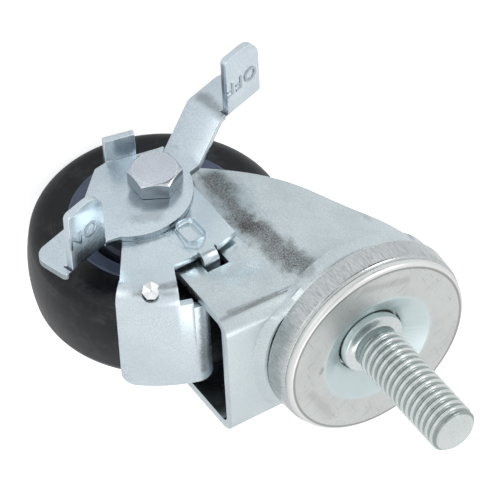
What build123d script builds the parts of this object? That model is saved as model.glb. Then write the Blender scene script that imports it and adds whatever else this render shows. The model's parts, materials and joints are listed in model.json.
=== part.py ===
from build123d import *
from math import atan2, cos, degrees, radians, sin, sqrt, tan
import os

# Swivel castor with a threaded stem and a side-lock brake, in millimetres.
# +Z is up along the stem, and the origin is on the stem's axis at the mounting face.
# The wheel's axle runs along Y, the brake is on the -Y side, and the wheel trails to +X.

os.makedirs("parts", exist_ok=True)

# ---------------------------------------------------------------- driving dimensions
# stem
stem_dia = 12.7             # 1/2 in thread, over the crests
stem_length = 34.0          # above the mounting face
stem_chamfer = 1.0
collar_dia = 17.2           # plain collar in the recess of the mounting disc
collar_top = -1.4
neck_dia = 11.4             # undercut between the collar and the thread
neck_length = 2.6
kingpin_dia = 12.0          # shank that the swivel turns on
peen_dia = 17.0             # riveted head under the lower race
peen_height = 2.4

# mounting disc and upper race cup
disc_dia = 51.2
disc_sheet = 2.0
disc_edge_radius = 1.3
recess_dia = 30.2
recess_depth = 3.4
bore_clearance = 0.5        # between the collar and the rim of the recess
cup_dia = 52.4              # at its shoulder
cup_draft = 0.4             # the skirt widens by this much on the radius
cup_sheet = 1.9
cup_height = 6.3
cup_shoulder_radius = 1.2

# swivel bearing
upper_ball_dia = 5.56
upper_ball_count = 12
lower_ball_dia = 4.0
lower_ball_count = 8
ball_clearance = 0.04
swivel_gap = 0.4            # between the cup's rim and the seat of the fork
lower_race_dia = 31.0
lower_race_sheet = 2.0

# fork, pressed from one sheet
fork_sheet = 2.5
fork_width = 39.2           # outside the legs
fork_trailing = 36.1        # the legs' straight rear edges
seat_dia = 54.8             # raised round seat under the cup
seat_rise = 2.1
seat_flank = 1.9
crown_bend_radius = 4.6     # outside radius between the crown and the legs
hood_start = 14.0           # where the flat legs begin to wrap round to the front
hood_nose = 26.4            # how far the wrapped front reaches ahead of the stem
hood_overlap = 2.0          # the wrapped front runs this far into the flat legs
crown_hole_dia = 17.0
flare_height = 14.0         # over which the round seat blends into the flat legs
nose_tuck = 3.6             # the seat's foot draws in by this much away from the trailing side
seat_tuck = 2.2             # and its top by this much
foot_lip = 0.35             # the foot stands this far proud of the wrapped front
leg_end_radius = 11.4       # rounded lower end of each leg
window_width = 6.2          # slot in the near leg that guides the shoe
window_height = 5.4
window_above_axle = 24.0
window_front = 23.9

# axle
axle_x = 26.7               # trail behind the stem
axle_z = -58.2
bolt_dia = 8.0
head_flats = 12.0
head_height = 4.7
nut_flats = 13.0
nut_height = 7.6
nut_insert_height = 2.2
bolt_overrun = 1.6          # thread past the nut
bore_gap = 0.05             # radial running gap of a turning or sliding bore
sleeve_dia = 12.0

# wheel
wheel_dia = 66.8
tread_edge_drop = 0.9       # crown of the tread, at the start of the shoulder
tread_half_width = 8.6
tyre_half_width = 12.9
shoulder_foot_dia = 54.0    # where the shoulder meets the side of the tyre
hub_dia = 45.4
hub_groove_outer = 38.2
hub_groove_inner = 33.4
hub_groove_depth = 4.0
hub_boss_proud = 1.2
hub_boss_dia = 22.0
bush_dia = 17.0
bush_flange_dia = 20.0
bush_flange = 0.8
bush_length = 12.0
side_gap = 0.3              # between what turns and what stands still

# brake
brake_sheet = 1.85
slide_gap = 0.1             # between plates that slide on each other
spacer_thickness = 1.2
spacer_dia = 20.0
lever_tilt = 16.7           # the lever's long axis above the trailing direction, at OFF
lever_swing = 33.4
shoe_angle = 60.5           # direction from the axle to the middle of the shoe
shoe_travel = 1.4
shoe_radius = 37.0          # outside of the curved shoe, about the axle
shoe_half_angle = 17.8
shoe_bend_radius = 4.5
shoe_far_edge = 9.5
shoe_bolt_end_radius = 10.6  # rounded end of its plate round the cam
shoe_front = -8.0           # its straight front edge, from the axle
shoe_top = 25.3             # its upper edge over the axle
shoe_neck_half = 6.7        # the bend to the band ends this far past the middle, in degrees
shoe_near_edge = 18.25      # where the bend runs out into the band
shoe_leg_edge = -16.6       # clears the inside of the near leg
shoe_leg_angle = 72.5       # past this direction the band runs inside the near leg
guide_front = -1.1          # tab of the shoe that slides in the leg's slot, from the axle
guide_width = 4.2
guide_reach = 15.9          # its end, from the middle plane
boss_proud = 0.8
tread_width = 12.0
fold_inside_radius = 1.0
tread_top = 4.85            # top of both treads over the lever's long axis
on_reach = 18.1             # tip of the ON tread, outside the lever's face
off_reach = 26.7
off_joggle = 8.9            # the OFF arm steps out by this much
tab_height = 6.9            # raised tab of the lever
cam_radius = 7.8
shoe_dart_angle = 56.6
dart_radius = 2.9
on_tread_start = 23.5

# ---------------------------------------------------------------- worked-out values
disc_r = disc_dia / 2
recess_r = recess_dia / 2
collar_r = collar_dia / 2
cup_r = cup_dia / 2
cup_top = -disc_sheet
cup_bottom = cup_top - cup_height
cup_skirt_in = cup_r + cup_draft * 0.5 - cup_sheet
seat_r = seat_dia / 2
seat_top = cup_bottom - swivel_gap
crown_top = seat_top - seat_rise
crown_under = crown_top - fork_sheet
seat_under = seat_top - fork_sheet
disc_bore_r = collar_r + bore_clearance
cup_floor = -recess_depth - disc_sheet
upper_ball_r = upper_ball_dia / 2
lower_ball_r = lower_ball_dia / 2
upper_row_r = cup_skirt_in - upper_ball_r - ball_clearance
upper_row_z = cup_top - cup_sheet - upper_ball_r - ball_clearance
kingpin_r = kingpin_dia / 2
crown_hole_r = crown_hole_dia / 2
lower_row_r = crown_hole_r + lower_ball_r + 0.8
lower_row_z = seat_under - lower_ball_r * 0.75
lower_race_top = lower_row_z - lower_ball_r * 0.6
lower_race_under = lower_race_top - lower_race_sheet
half_fork = fork_width / 2
leg_inside = half_fork - fork_sheet
bolt_r = bolt_dia / 2
wheel_r = wheel_dia / 2
spacer_face = half_fork + spacer_thickness
shoe_inside = spacer_face + slide_gap
shoe_face = shoe_inside + brake_sheet
lever_inside = shoe_face + slide_gap
lever_face = lever_inside + brake_sheet
head_seat = lever_face + slide_gap
cam_offset = shoe_travel / (2 * sin(radians(lever_swing / 2)))
hub_half = leg_inside - side_gap - bush_flange
shoe_inner_r = shoe_radius - brake_sheet

axle_side = Plane(origin=(axle_x, 0, axle_z), x_dir=(1, 0, 0), z_dir=(0, -1, 0))
axle_axis = Axis((axle_x, 0, axle_z), (0, 1, 0))


def axle_plane(distance):
    """Plane square to the axle, seen from the brake's side, that far out towards -Y."""
    return axle_side.offset(distance)


def save(part, label):
    """Name a finished piece and write its STEP file."""
    part.label = label
    export_step(part, f"parts/{label}.step")


# ---------------------------------------------------------------- stem
# One turned and rolled bolt: thread, undercut, collar, kingpin shank and riveted head.
with BuildPart() as threaded_stem:
    with BuildSketch(Plane.XZ):
        with BuildLine():
            Polyline(
                (0, lower_race_under - peen_height),
                (peen_dia / 2 - 2, lower_race_under - peen_height),
                (peen_dia / 2, lower_race_under - peen_height * 0.4),
                (peen_dia / 2, lower_race_under),
                (kingpin_r, lower_race_under),
                (kingpin_r, cup_floor),
                (collar_r, cup_floor),
                (collar_r, collar_top - 0.4),
                (collar_r - 0.4, collar_top),
                (neck_dia / 2, collar_top),
                (neck_dia / 2, collar_top + neck_length),
                (stem_dia / 2, collar_top + neck_length + (stem_dia - neck_dia) / 2),
                (stem_dia / 2, stem_length - stem_chamfer),
                (stem_dia / 2 - stem_chamfer, stem_length),
                (0, stem_length),
                close=True,
            )
        make_face()
    revolve(axis=Axis.Z)
save(threaded_stem.part, "threaded_stem")

# ---------------------------------------------------------------- mounting disc
# A pressed disc with a rolled rim, dished down round the collar.
with BuildPart() as mounting_disc:
    with BuildSketch(Plane.XZ):
        with BuildLine():
            Polyline(
                (disc_bore_r, -recess_depth),
                (recess_r, 0),
                (disc_r, 0),
                (disc_r, -disc_sheet),
                (recess_r - disc_sheet * 0.35, -disc_sheet),
                (disc_bore_r, -recess_depth - disc_sheet * 0.9),
                close=True,
            )
        make_face()
    revolve(axis=Axis.Z)
    rims = mounting_disc.edges().filter_by(GeomType.CIRCLE).group_by(SortBy.RADIUS)[-1]
    fillet(rims.sort_by(Axis.Z)[-1], disc_edge_radius)
    fillet(
        mounting_disc.edges().filter_by(GeomType.CIRCLE).group_by(Axis.Z)[-1].sort_by(SortBy.RADIUS)[0],
        1.2,
    )
save(mounting_disc.part, "mounting_disc")

# ---------------------------------------------------------------- upper race cup
# A drawn cup under the disc. The balls run in the corner of its skirt.
cup_profile = [
    (kingpin_r, cup_floor - cup_sheet),
    (kingpin_r, cup_floor),
    (disc_bore_r + 0.2, cup_floor),
    (recess_r + 0.4, cup_top),
    (cup_r, cup_top),
    (cup_r + cup_draft, cup_bottom),
    (cup_r + cup_draft - cup_sheet, cup_bottom),
    (cup_skirt_in - cup_draft * 0.3, cup_top - cup_sheet),
    (recess_r + 0.4 - cup_sheet * 0.35, cup_top - cup_sheet),
    (disc_bore_r + 0.2 - cup_sheet * 0.35, cup_floor - cup_sheet),
]
with BuildPart() as upper_race_cup:
    with BuildSketch(Plane.XZ):
        with BuildLine():
            Polyline(*cup_profile, close=True)
        make_face()
    revolve(axis=Axis.Z)
    shoulder = upper_race_cup.edges().filter_by(GeomType.CIRCLE).group_by(Axis.Z)[-1]
    fillet(shoulder.sort_by(SortBy.RADIUS)[-1], cup_shoulder_radius)
save(upper_race_cup.part, "upper_race_cup")

# ---------------------------------------------------------------- lower race
# A dished washer held by the riveted head. The lower balls run in its groove.
with BuildPart() as lower_race:
    with BuildSketch(Plane.XZ):
        with BuildLine():
            Polyline(
                (kingpin_r, lower_race_under),
                (lower_race_dia / 2 - 1.5, lower_race_under),
                (lower_race_dia / 2, lower_race_under + 1.2),
                (lower_race_dia / 2, lower_race_top),
                (kingpin_r, lower_race_top),
                close=True,
            )
        make_face()
        with Locations((lower_row_r, lower_row_z)):
            Circle(lower_ball_r + ball_clearance, mode=Mode.SUBTRACT)
    revolve(axis=Axis.Z)
save(lower_race.part, "lower_race")

# ---------------------------------------------------------------- balls
for row, count, ball_r, row_r, row_z in (
    ("upper", upper_ball_count, upper_ball_r, upper_row_r, upper_row_z),
    ("lower", lower_ball_count, lower_ball_r, lower_row_r, lower_row_z),
):
    with BuildPart() as balls:
        with Locations(Plane.XY.offset(row_z)):
            with PolarLocations(row_r, count):
                Sphere(ball_r)
    save(balls.part, f"{row}_balls")

# ---------------------------------------------------------------- fork
# The round seat stands out past the planes of the legs, and the front wraps round between them.
flare_r = seat_r + seat_flank
hood_stations = 8


def seat_point(angle, radius, tuck):
    """Point on the seat's outline, which stands out most on the trailing side."""
    share = min(1, max(0, (0.92 - cos(angle)) / 0.22))
    reach = radius - tuck * share**2 * (3 - 2 * share)
    return (reach * cos(angle), -reach * sin(angle))


def hood_outline(drop, inset):
    """Corner points of the wrapped front, that far under the crown and inside the sheet."""
    blend = max(0, 1 - drop / flare_height) ** 2
    side = half_fork - inset
    ring_r = flare_r - foot_lip - inset
    corner_angle = degrees(atan2(side, sqrt(ring_r**2 - side**2)))
    root = hood_start + hood_overlap
    points = []
    for station in range(hood_stations + 1):
        share = station / hood_stations
        ring = seat_point(radians(corner_angle + share * (360 - 2 * corner_angle)), ring_r, nose_tuck)
        nose_angle = radians(180 * share)
        nose = (
            root - (root + hood_nose - inset) * sin(nose_angle),
            -side * cos(nose_angle),
        )
        points.append(tuple(blend * a + (1 - blend) * b for a, b in zip(ring, nose)))
    return points


def seat_solid(low, low_radius, low_tuck, high, high_radius, high_tuck):
    """Round seat between two levels."""
    with BuildPart() as seat:
        for level, radius, tuck in ((low, low_radius, low_tuck), (high, high_radius, high_tuck)):
            with BuildSketch(Plane.XY.offset(level)):
                with BuildLine():
                    outline = [seat_point(radians(15 * step), radius, tuck) for step in range(24)]
                    Spline(*outline, periodic=True)
                make_face()
        loft()
    return seat.part


def hood_solid(inset):
    """Solid inside the wrapped front, from the crown down past the legs' ends."""
    with BuildPart() as hood:
        for drop in (0, 0.2 * flare_height, 0.5 * flare_height, flare_height):
            with BuildSketch(Plane.XY.offset(crown_top - drop)):
                with BuildLine():
                    outline = hood_outline(drop, inset)
                    Spline(*outline)
                    Line(outline[-1], outline[0])
                make_face()
        loft()
        extrude(hood.faces().sort_by(Axis.Z)[0], amount=axle_reach)
    return hood.part


# Side view of the fork: straight rear edge, round lower end and swept front edge.
axle_reach = crown_top - axle_z + leg_end_radius
leg_low = (axle_x - leg_end_radius * sin(radians(45)), axle_z - leg_end_radius * cos(radians(45)))
rear_meet = (fork_trailing, axle_z + sqrt(leg_end_radius**2 - (fork_trailing - axle_x) ** 2))
front_points = [
    leg_low,
    (4.2, -54.2),
    (-6.0, -43.6),
    (-13.4, -32.6),
    (-18.5, -27.2),
    (-23.6, -21.5),
    (-flare_r, crown_under),
]

with BuildPart() as side_view:
    with BuildSketch(Plane.XZ):
        with BuildLine():
            ThreePointArc(rear_meet, (axle_x, axle_z - leg_end_radius), leg_low)
            Spline(*front_points, tangents=((-1, 1), (-1, 0.8)))
            Polyline(front_points[-1], (-flare_r, seat_top), (fork_trailing, seat_top), rear_meet)
        make_face()
    extrude(amount=flare_r, both=True)

with BuildPart() as fork:
    # legs and crown, bent up as a channel
    with BuildSketch(Plane.YZ.offset(hood_start)):
        for inset, radius, mode in (
            (0, crown_bend_radius, Mode.ADD),
            (fork_sheet, crown_bend_radius - fork_sheet, Mode.SUBTRACT),
        ):
            top = crown_top - inset
            with BuildSketch(mode=Mode.PRIVATE) as channel:
                with BuildLine():
                    side = half_fork - inset
                    low = crown_top - axle_reach
                    Polyline((-side, top), (-side, low), (side, low), (side, top), close=True)
                make_face()
                fillet(channel.vertices().group_by(Axis.Y)[-1], radius)
            add(channel.sketch, mode=mode)
    extrude(amount=fork_trailing - hood_start)
    # wrapped front
    add(hood_solid(0))
    add(hood_solid(fork_sheet), mode=Mode.SUBTRACT)
    # raised seat for the swivel, one sheet thick
    add(seat_solid(crown_top, flare_r, nose_tuck, seat_top, seat_r, seat_tuck))
    add(seat_solid(crown_under, flare_r, nose_tuck, crown_top, flare_r, nose_tuck))
    hollow_foot, hollow_top = flare_r - fork_sheet, seat_r - fork_sheet * 0.7
    hollow = seat_solid(crown_under, hollow_foot, nose_tuck, seat_under, hollow_top, seat_tuck)
    add(hollow, mode=Mode.SUBTRACT)
    # ball grooves over and under the seat, and the kingpin's hole
    with BuildSketch(Plane.XZ):
        with Locations((upper_row_r, upper_row_z)):
            Circle(upper_ball_r + ball_clearance)
        with Locations((lower_row_r, lower_row_z)):
            Circle(lower_ball_r + ball_clearance)
    revolve(axis=Axis.Z, mode=Mode.SUBTRACT)
    add(side_view.part, mode=Mode.INTERSECT)
    with Locations((0, 0, seat_under)):
        Cylinder(crown_hole_r, fork_sheet * 4, mode=Mode.SUBTRACT)
    # axle holes through both legs, and the slot in the near leg that guides the shoe
    with BuildSketch(Plane.XZ):
        with Locations((axle_x, axle_z)):
            Circle(bolt_r + bore_gap)
    extrude(amount=fork_width, both=True, mode=Mode.SUBTRACT)
    with BuildSketch(axle_plane(half_fork)):
        with Locations((window_front - axle_x, window_above_axle)):
            Rectangle(window_width, window_height, align=(Align.MIN, Align.MIN))
    extrude(amount=-fork_sheet, mode=Mode.SUBTRACT)
save(fork.part, "fork")

# ---------------------------------------------------------------- axle bolt, nut and sleeve
nut_seat = -half_fork
bolt_end = nut_seat - nut_height - bolt_overrun
with BuildPart() as axle_bolt:
    with BuildSketch(axle_plane(head_seat)):
        RegularPolygon(head_flats / 2, 6, major_radius=False, rotation=30)
    extrude(amount=head_height)
    # the corners of the head are turned off on a cone
    with BuildSketch(Plane.XY.offset(axle_z)):
        with BuildLine():
            Polyline(
                (axle_x, -head_seat),
                (axle_x + head_flats, -head_seat),
                (axle_x + head_flats, -head_seat - head_height + head_flats * 0.33),
                (axle_x + head_flats * 0.465, -head_seat - head_height),
                (axle_x, -head_seat - head_height),
                close=True,
            )
        make_face()
    revolve(axis=axle_axis, mode=Mode.INTERSECT)
    with BuildSketch(axle_plane(head_seat)):
        Circle(bolt_r)
    extrude(amount=bolt_end - head_seat)
    chamfer(axle_bolt.edges().filter_by(GeomType.CIRCLE).sort_by(Axis.Y)[-1], 0.8)
save(axle_bolt.part, "axle_bolt")

with BuildPart() as axle_nut:
    with BuildSketch(axle_plane(nut_seat)):
        RegularPolygon(nut_flats / 2, 6, major_radius=False, rotation=30)
    extrude(amount=-nut_height + nut_insert_height)
    with BuildSketch(axle_plane(nut_seat - nut_height + nut_insert_height)):
        Circle(nut_flats * 0.46)
    extrude(amount=-nut_insert_height)
    with BuildSketch(axle_plane(nut_seat)):
        Circle(bolt_r)
    extrude(amount=-nut_height, mode=Mode.SUBTRACT)
    with BuildSketch(axle_plane(nut_seat - nut_height + nut_insert_height)):
        Circle(nut_flats * 0.39)
    extrude(amount=-nut_insert_height, mode=Mode.SUBTRACT)
save(axle_nut.part, "axle_nut")

with BuildPart() as nut_insert:
    with BuildSketch(axle_plane(nut_seat - nut_height + nut_insert_height)):
        Circle(nut_flats * 0.39)
        Circle(bolt_r, mode=Mode.SUBTRACT)
    extrude(amount=-nut_insert_height + 0.2)
save(nut_insert.part, "nut_insert")

with BuildPart() as axle_sleeve:
    with BuildSketch(axle_plane(-leg_inside)):
        Circle(sleeve_dia / 2)
        Circle(bolt_r + bore_gap, mode=Mode.SUBTRACT)
    extrude(amount=2 * leg_inside)
save(axle_sleeve.part, "axle_sleeve")

with BuildPart() as brake_spacer:
    with BuildSketch(axle_plane(half_fork)):
        Circle(spacer_dia / 2)
        Circle(bolt_r + bore_gap, mode=Mode.SUBTRACT)
    extrude(amount=spacer_thickness)
save(brake_spacer.part, "brake_spacer")

# ---------------------------------------------------------------- wheel
# Half sections are drawn as (distance from the axle, distance along it) and turned about the axle.
wheel_plane = Plane(origin=(axle_x, 0, axle_z), x_dir=(1, 0, 0), z_dir=(0, 0, -1))
hub_r = hub_dia / 2
bush_r = bush_dia / 2
hub_side = tyre_half_width
shoulder_start = (wheel_r - tread_edge_drop, tread_half_width)
shoulder_foot = (shoulder_foot_dia / 2, tyre_half_width)

with BuildPart() as tyre:
    with BuildSketch(wheel_plane):
        with BuildLine():
            a, b = shoulder_start, shoulder_foot
            ThreePointArc((a[0], -a[1]), (wheel_r, 0), (a[0], a[1]))
            for way in (1, -1):
                TangentArc((b[0], way * b[1]), (a[0], way * a[1]), tangent=(1, 0))
                Polyline(
                    (b[0], way * b[1]),
                    (hub_r, way * b[1]),
                    (hub_r, way * (b[1] - 3)),
                    (hub_r - 2, way * (b[1] - 5)),
                )
            Line((hub_r - 2, b[1] - 5), (hub_r - 2, 5 - b[1]))
        make_face()
    revolve(axis=axle_axis)
save(tyre.part, "tyre")

groove_floor = hub_side - hub_groove_depth
with BuildPart() as wheel_hub:
    with BuildSketch(wheel_plane):
        with BuildLine():
            right = [
                (bush_r, hub_half),
                (hub_boss_dia / 2, hub_half),
                (hub_boss_dia / 2 + 0.6, hub_side + hub_boss_proud),
                (hub_groove_inner / 2 - 0.8, hub_side + hub_boss_proud),
                (hub_groove_inner / 2, hub_side + 0.2),
                (hub_groove_inner / 2, groove_floor),
                (hub_groove_outer / 2, groove_floor),
                (hub_groove_outer / 2, hub_side + 0.3),
                (hub_r - 0.5, hub_side + 0.3),
                (hub_r, hub_side),
                (hub_r, hub_side - 3),
                (hub_r - 2, hub_side - 5),
            ]
            left = [(distance, -along) for distance, along in reversed(right)]
            Polyline(*right, *left, close=True)
        make_face()
    revolve(axis=axle_axis)
save(wheel_hub.part, "wheel_hub")

for side, way in (("near", 1), ("far", -1)):
    flange_face = way * (leg_inside - side_gap)
    with BuildPart() as bush:
        with BuildSketch(axle_plane(flange_face)):
            Circle(bush_flange_dia / 2)
            Circle(sleeve_dia / 2 + bore_gap, mode=Mode.SUBTRACT)
        extrude(amount=-way * (leg_inside - side_gap - hub_half))
        with BuildSketch(axle_plane(way * hub_half)):
            Circle(bush_r)
            Circle(sleeve_dia / 2 + bore_gap, mode=Mode.SUBTRACT)
        extrude(amount=-way * bush_length)
    save(bush.part, f"{side}_bush")

# ---------------------------------------------------------------- brake shoe
# A plate on the bolt beside the near leg, bent over to a curved band that reaches across the tyre.
# Places on the plate are given along the shoe's direction, which points from the axle to the middle
# of the band, and across that direction towards the rear.
bend_r = shoe_radius - shoe_bend_radius
neck_end = shoe_angle + shoe_neck_half
neck_start = shoe_angle - shoe_half_angle


def shoe_point(out, across):
    """Place on the shoe's plate, that far out from the axle and across."""
    angle = radians(shoe_angle)
    return (out * cos(angle) + across * sin(angle), out * sin(angle) - across * cos(angle))


def polar(radius, angle):
    """Place on the shoe's plate by its distance from the axle and its direction."""
    return (radius * cos(radians(angle)), radius * sin(radians(angle)))


def radial_plane(angle):
    """Plane through the axle in that direction, for sketches of (distance, place along Y)."""
    out = (cos(radians(angle)), 0, sin(radians(angle)))
    return Plane(origin=(axle_x, 0, axle_z), x_dir=out, z_dir=(-out[2], 0, out[0]))


shoe_axis = Axis((axle_x, 0, axle_z), (0, -1, 0))
cam_across = cam_offset * (1 + cos(radians(lever_swing / 2))) / 2
tab_root = window_above_axle + 0.95
guide_outer_r = fold_inside_radius + brake_sheet

with BuildPart() as brake_shoe:
    with BuildSketch(axle_plane(shoe_face)):
        with BuildLine():
            neck_rear, neck_front = polar(bend_r, neck_start), polar(bend_r, neck_end)
            ThreePointArc(neck_rear, polar(bend_r, (neck_start + neck_end) / 2), neck_front)
            Polyline(
                neck_front,
                (10.5, shoe_top),
                (guide_front + guide_width + 0.6, shoe_top),
                (guide_front + guide_width + 0.6, tab_root),
                (guide_front - 0.6, tab_root),
                (guide_front - 0.6, shoe_top + 0.3),
                (shoe_front, shoe_top - 1.2),
                (shoe_front, -2),
                (-2, -6),
                (8, -6),
                shoe_point(18.2, 8.9),
                neck_rear,
            )
        make_face()
        with Locations(shoe_point(shoe_travel / 2, cam_across)):
            Circle(shoe_bolt_end_radius)
        # slot for the cam, with room for its small sideways sweep
        with Locations(Location((*shoe_point(shoe_travel / 2, cam_across), 0), (0, 0, shoe_angle))):
            RectangleRounded(
                2 * (cam_radius + bore_gap), 2 * cam_radius + 0.7, cam_radius - 1.8, mode=Mode.SUBTRACT
            )
    extrude(amount=-brake_sheet)
    # bend from the plate to the band
    with BuildSketch(radial_plane(neck_start)):
        with BuildLine():
            start, end = (bend_r, -shoe_face), (shoe_radius, -shoe_near_edge)
            inner_start, inner_end = (bend_r, -shoe_inside), (shoe_inner_r, -shoe_near_edge)
            TangentArc(start, end, tangent=(1, 0))
            Line(end, inner_end)
            TangentArc(inner_start, inner_end, tangent=(1, 0))
            Line(inner_start, start)
        make_face()
    revolve(axis=shoe_axis, revolution_arc=neck_end - neck_start)
    # band across the tyre, narrower where it runs inside the near leg
    for angle, sweep, near_edge in (
        (neck_start, shoe_leg_angle - neck_start, -shoe_near_edge),
        (shoe_leg_angle, shoe_angle + shoe_half_angle - shoe_leg_angle, shoe_leg_edge),
    ):
        with BuildSketch(radial_plane(angle)):
            with Locations((shoe_inner_r, near_edge)):
                Rectangle(brake_sheet, shoe_far_edge - near_edge, align=(Align.MIN, Align.MIN))
        revolve(axis=shoe_axis, revolution_arc=sweep)
    far_corners = brake_shoe.edges().filter_by(GeomType.LINE).group_by(Axis.Y)[-1]
    fillet(far_corners, 3.6)
    # guide tab, bent in through the slot of the leg
    with BuildSketch(Plane(origin=(axle_x + guide_front, 0, axle_z), z_dir=(1, 0, 0), x_dir=(0, 0, 1))):
        with BuildLine():
            tab_top = tab_root + guide_outer_r
            Line((tab_root, shoe_face), (tab_root, shoe_inside))
            TangentArc(
                (tab_root, shoe_inside),
                (tab_root + fold_inside_radius, shoe_inside - fold_inside_radius),
                tangent=(1, 0),
            )
            Polyline(
                (tab_root + fold_inside_radius, shoe_inside - fold_inside_radius),
                (tab_root + fold_inside_radius, guide_reach),
                (tab_top, guide_reach),
                (tab_top, shoe_inside - fold_inside_radius),
            )
            TangentArc((tab_root, shoe_face), (tab_top, shoe_inside - fold_inside_radius), tangent=(1, 0))
        make_face()
    extrude(amount=guide_width)
    # raised boss that the lever's edge pushes back
    with BuildSketch(axle_plane(shoe_face)) as boss:
        with BuildLine():
            Polyline((4.3, 15.5), (-1.2, 14.9), (0.2, 23.2), (2.9, 24.1), (4.9, 21.5), close=True)
        make_face()
        fillet(boss.vertices(), 0.7)
    extrude(amount=boss_proud)
    # stiffening dart pressed into the bend
    dart_out = polar(bend_r, shoe_dart_angle)
    dart_place = (axle_x + dart_out[0], -(shoe_face - shoe_bend_radius), axle_z + dart_out[1])
    dart_way = Vector(cos(radians(shoe_dart_angle)), -1, sin(radians(shoe_dart_angle))).normalized()
    with Locations(Vector(dart_place) + dart_way * (shoe_bend_radius + 1.6)):
        Sphere(dart_radius, mode=Mode.SUBTRACT)
save(brake_shoe.part, "brake_shoe")

# ---------------------------------------------------------------- brake lever
# A rocker on the bolt with a tread at each end. Places on it are (u, v, w): along its long axis
# towards the ON end, square to that, and out from its face towards -Y.
tilt = radians(lever_tilt)
along = Vector(cos(tilt), 0, sin(tilt))
upward = Vector(-sin(tilt), 0, cos(tilt))
outward = Vector(0, -1, 0)
outside_radius = fold_inside_radius + brake_sheet
fold_v = tread_top - outside_radius


def lever_place(u, v, w):
    """Point in space for a place on the lever."""
    return Vector(axle_x, 0, axle_z) + along * u + upward * v + outward * (lever_face + w)


def lever_side(w):
    """Plane beside the lever's face, for (u, v) sketches."""
    return Plane(origin=lever_place(0, 0, w), x_dir=along, z_dir=outward)


def lever_section(u):
    """Plane across the lever, for (v, w) sketches."""
    return Plane(origin=lever_place(u, 0, 0), x_dir=upward, z_dir=along)


def lever_top(v):
    """Plane over the lever, for (u, w) sketches."""
    return Plane(origin=lever_place(0, v, 0), x_dir=along, z_dir=-upward)


def round_corner(sketch, place, radius):
    """Round the corner of a sketch that is nearest to the place."""
    fillet(sketch.vertices().sort_by_distance(place)[0], radius)


off_root, off_step, off_tip = -11.2, -20.3, -34.4
on_tip = 37.8
mitre = brake_sheet * tan(atan2(off_joggle, off_root - off_step) / 2)

# OFF arm, stepped outwards by two bends
with BuildPart() as off_arm:
    with BuildSketch(lever_top(-12)) as steps:
        with BuildLine():
            Polyline(
                (-6, 0),
                (off_root, 0),
                (off_step, off_joggle),
                (off_tip, off_joggle),
                (off_tip, off_joggle - brake_sheet),
                (off_step - mitre, off_joggle - brake_sheet),
                (off_root - mitre, -brake_sheet),
                (-6, -brake_sheet),
                close=True,
            )
        make_face()
        round_corner(steps, (off_root, 0), fold_inside_radius)
        round_corner(steps, (off_root - mitre, -brake_sheet), outside_radius)
        round_corner(steps, (off_step, off_joggle), outside_radius)
        round_corner(steps, (off_step - mitre, off_joggle - brake_sheet), fold_inside_radius)
    extrude(amount=-24)
    with BuildSketch(lever_side(off_joggle)) as arm_outline:
        with BuildLine():
            Polyline(
                (-5.5, 2),
                (-7.9, 4.2),
                (off_root, 4.3),
                (off_step, 4.1),
                (-22.2, 4.1),
                (-22.2, fold_v),
                (off_tip, fold_v),
                (off_tip, -6.8),
                (off_step, -6.8),
                (off_root, -6.5),
                (-5.5, -4),
                close=True,
            )
        make_face()
        round_corner(arm_outline, (off_tip, -6.8), 4)
    extrude(amount=-off_joggle - brake_sheet, mode=Mode.INTERSECT)

with BuildPart() as brake_lever:
    with BuildSketch(lever_side(0)) as rocker:
        with BuildLine():
            ThreePointArc((-7.9, 4.2), (5.9, 12.7), (19.5, 5.8))
            Polyline(
                (19.5, 5.8),
                (22.5, 4.4),
                (23.2, 4.4),
                (23.2, fold_v),
                (35.9, fold_v),
                (35.9, 4.5),
                (on_tip, 4.5),
                (on_tip, -6.6),
                (21.4, -6.6),
                (6.1, -14.8),
                (2.64, -14.25),
                (-4.25, -10.23),
                (-9.2, -7.56),
                (off_root + 0.7, -7.0),
                (off_root + 0.7, -6.4),
                (-7.9, -5),
                (-7.9, 4.2),
            )
        make_face()
        round_corner(rocker, (on_tip, 4.5), 1.2)
        round_corner(rocker, (on_tip, -6.6), 4)
        round_corner(rocker, (21.4, -6.6), 5)
        round_corner(rocker, (6.1, -14.8), 2)
        Circle(bolt_r + bore_gap, mode=Mode.SUBTRACT)
    extrude(amount=-brake_sheet)
    add(off_arm.part)
    # treads, folded outwards along the upper edges of both arms
    for start, width, base, reach, low_corner, high_corner in (
        (on_tread_start, tread_width, 0, on_reach, 5.5, 1.5),
        (off_tip, tread_width, off_joggle, off_reach, 5.5, 1.2),
    ):
        with BuildSketch(lever_section(start)):
            with BuildLine():
                centre = (fold_v, base + fold_inside_radius)
                bottom, side = (fold_v, base - brake_sheet), (tread_top, centre[1])
                inner_bottom, inner_side = (fold_v, base), (fold_v + fold_inside_radius, centre[1])
                TangentArc(bottom, side, tangent=(1, 0))
                Line(side, inner_side)
                TangentArc(inner_bottom, inner_side, tangent=(1, 0))
                Line(inner_bottom, bottom)
            make_face()
        extrude(amount=width)
        with BuildSketch(lever_top(tread_top)) as tread:
            with Locations((start, centre[1])):
                Rectangle(width, reach - centre[1], align=(Align.MIN, Align.MIN))
            round_corner(tread, (start, reach), low_corner)
            round_corner(tread, (start + width, reach), high_corner)
        extrude(amount=brake_sheet)
    # raised tab along the lower edge
    tab_way = Vector(-4.25 - 2.64, -10.23 + 14.25).normalized()
    tab_out = Vector(tab_way.Y, -tab_way.X) * brake_sheet
    tab_ends = [Vector(2.64, -14.25), Vector(-4.25, -10.23)]
    with BuildSketch(lever_side(-brake_sheet)):
        with BuildLine():
            corners = [*tab_ends, tab_ends[1] - tab_out, tab_ends[0] - tab_out]
            Polyline(*[(corner.X, corner.Y) for corner in corners], close=True)
        make_face()
    extrude(amount=brake_sheet + tab_height)
save(brake_lever.part, "brake_lever")

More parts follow.
